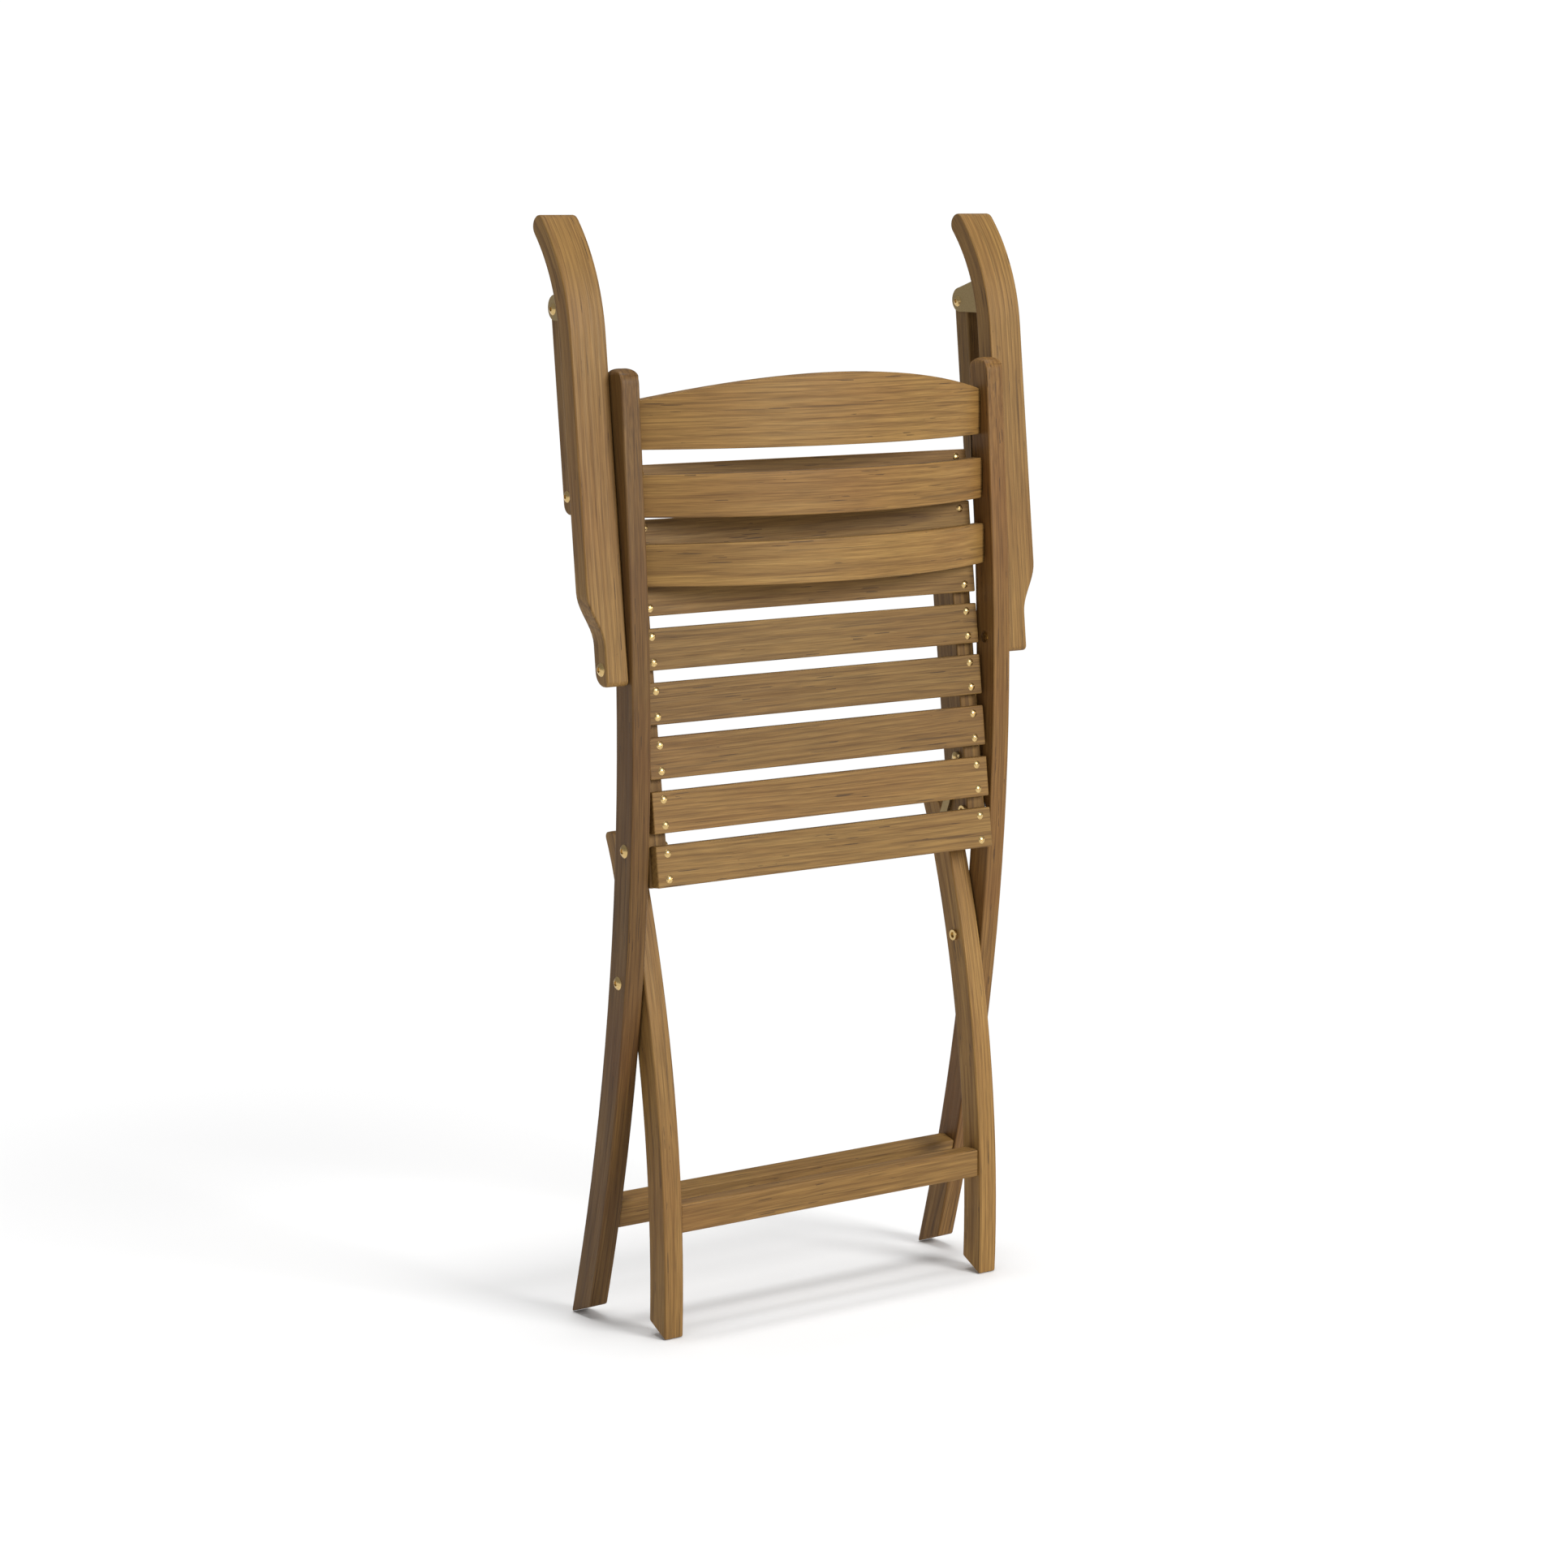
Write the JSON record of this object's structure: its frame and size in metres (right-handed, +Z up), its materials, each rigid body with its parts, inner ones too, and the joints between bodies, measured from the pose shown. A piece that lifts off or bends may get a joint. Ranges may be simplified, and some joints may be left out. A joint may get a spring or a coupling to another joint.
{
  "type": "folding armchair",
  "caption": "Slatted wooden folding armchair with crossed legs, bowed back slats, curved armrests on struts and brass pivots, shown folded flat.",
  "frame": {"origin": "on the floor, at the middle of the bounding box of the folded chair", "axes": "+Z up, -Y the way the sitter faces, +X to the sitter's left"},
  "size_m": [0.543, 0.1734, 1.1033],
  "materials": {
    "teak_frame": "oiled satin, grain along each piece",
    "teak_back": "oiled satin, grain across the chair",
    "teak_seat": "oiled satin, grain across the chair",
    "brass_fittings": "polished",
    "steel_washers": "plain"
  },
  "bodies": {
    "back_frame": {"back_post_left": "teak_frame", "back_post_right": "teak_frame", "back_slat_top": "teak_back", "back_slat_middle": "teak_back", "back_slat_lower": "teak_back", "front_stretcher": "teak_frame", "seat_pivot_bolts": "brass_fittings", "seat_pivot_nuts": "brass_fittings", "cross_pivot_bolts": "brass_fittings", "cross_pivot_nuts": "brass_fittings", "arm_pivot_bolts": "brass_fittings", "arm_pivot_nuts": "brass_fittings", "pivot_washers": "steel_washers"},
    "seat": {"seat_rail_left": "teak_frame", "seat_rail_right": "teak_frame", "seat_slat_1": "teak_seat", "seat_slat_2": "teak_seat", "seat_slat_3": "teak_seat", "seat_slat_4": "teak_seat", "seat_slat_5": "teak_seat", "seat_slat_6": "teak_seat", "seat_slat_7": "teak_seat", "seat_slat_8": "teak_seat", "seat_slat_screws": "brass_fittings", "strut_spacers": "brass_fittings", "link_rivets": "brass_fittings"},
    "rear_legs": {"rear_leg_left": "teak_frame", "rear_leg_right": "teak_frame", "rear_stretcher": "teak_frame"},
    "link_left": {"link_left": "brass_fittings", "link_stud_left": "brass_fittings"},
    "arm_left": {"armrest_left": "teak_frame", "arm_bracket_left": "brass_fittings", "bracket_screws_left": "brass_fittings", "bracket_pin_left": "brass_fittings"},
    "strut_left": {"strut_left": "teak_frame", "strut_bolt_left": "brass_fittings"},
    "link_right": {"link_right": "brass_fittings", "link_stud_right": "brass_fittings"},
    "arm_right": {"armrest_right": "teak_frame", "arm_bracket_right": "brass_fittings", "bracket_screws_right": "brass_fittings", "bracket_pin_right": "brass_fittings"},
    "strut_right": {"strut_right": "teak_frame", "strut_bolt_right": "brass_fittings"}
  },
  "joints": [
    {"name": "seat_fold", "type": "hinge", "parent": "back_frame", "child": "seat", "pos_m": [0, 0.02815, 0.491], "axis": [1, 0, 0], "range_deg": [0, 96]},
    {"name": "rear_leg_fold", "type": "hinge", "parent": "back_frame", "child": "rear_legs", "pos_m": [0, 0.01265, 0.3575], "axis": [1, 0, 0], "range_deg": [0, 47.14]},
    {"name": "arm_left_swing", "type": "hinge", "parent": "back_frame", "child": "arm_left", "pos_m": [0.24, 0.03215, 0.671], "axis": [1, 0, 0], "range_deg": [0, 92.36]},
    {"name": "strut_left_swing", "type": "hinge", "parent": "arm_left", "child": "strut_left", "pos_m": [0.2445, -0.04585, 1.0135], "axis": [1, 0, 0], "range_deg": [-97.71, 0]},
    {"name": "link_left_swing", "type": "hinge", "parent": "seat", "child": "link_left", "pos_m": [0.183, 0.01765, 0.5465], "axis": [1, 0, 0], "range_deg": [-120.29, 0]},
    {"name": "arm_right_swing", "type": "hinge", "parent": "back_frame", "child": "arm_right", "pos_m": [-0.24, 0.03215, 0.671], "axis": [1, 0, 0], "range_deg": [0, 92.36]},
    {"name": "strut_right_swing", "type": "hinge", "parent": "arm_right", "child": "strut_right", "pos_m": [-0.2445, -0.04585, 1.0135], "axis": [1, 0, 0], "range_deg": [-97.71, 0]},
    {"name": "link_right_swing", "type": "hinge", "parent": "seat", "child": "link_right", "pos_m": [-0.183, 0.01765, 0.5465], "axis": [1, 0, 0], "range_deg": [-120.29, 0]}
  ],
  "couplings": [
    {"joint": "rear_leg_fold", "follows": "seat_fold", "ratio": 0.49079},
    {"joint": "arm_left_swing", "follows": "seat_fold", "ratio": 0.96186},
    {"joint": "strut_left_swing", "follows": "seat_fold", "ratio": -1.0176},
    {"joint": "link_left_swing", "follows": "seat_fold", "ratio": -1.2528},
    {"joint": "arm_right_swing", "follows": "seat_fold", "ratio": 0.96186},
    {"joint": "strut_right_swing", "follows": "seat_fold", "ratio": -1.0176},
    {"joint": "link_right_swing", "follows": "seat_fold", "ratio": -1.2528}
  ]
}
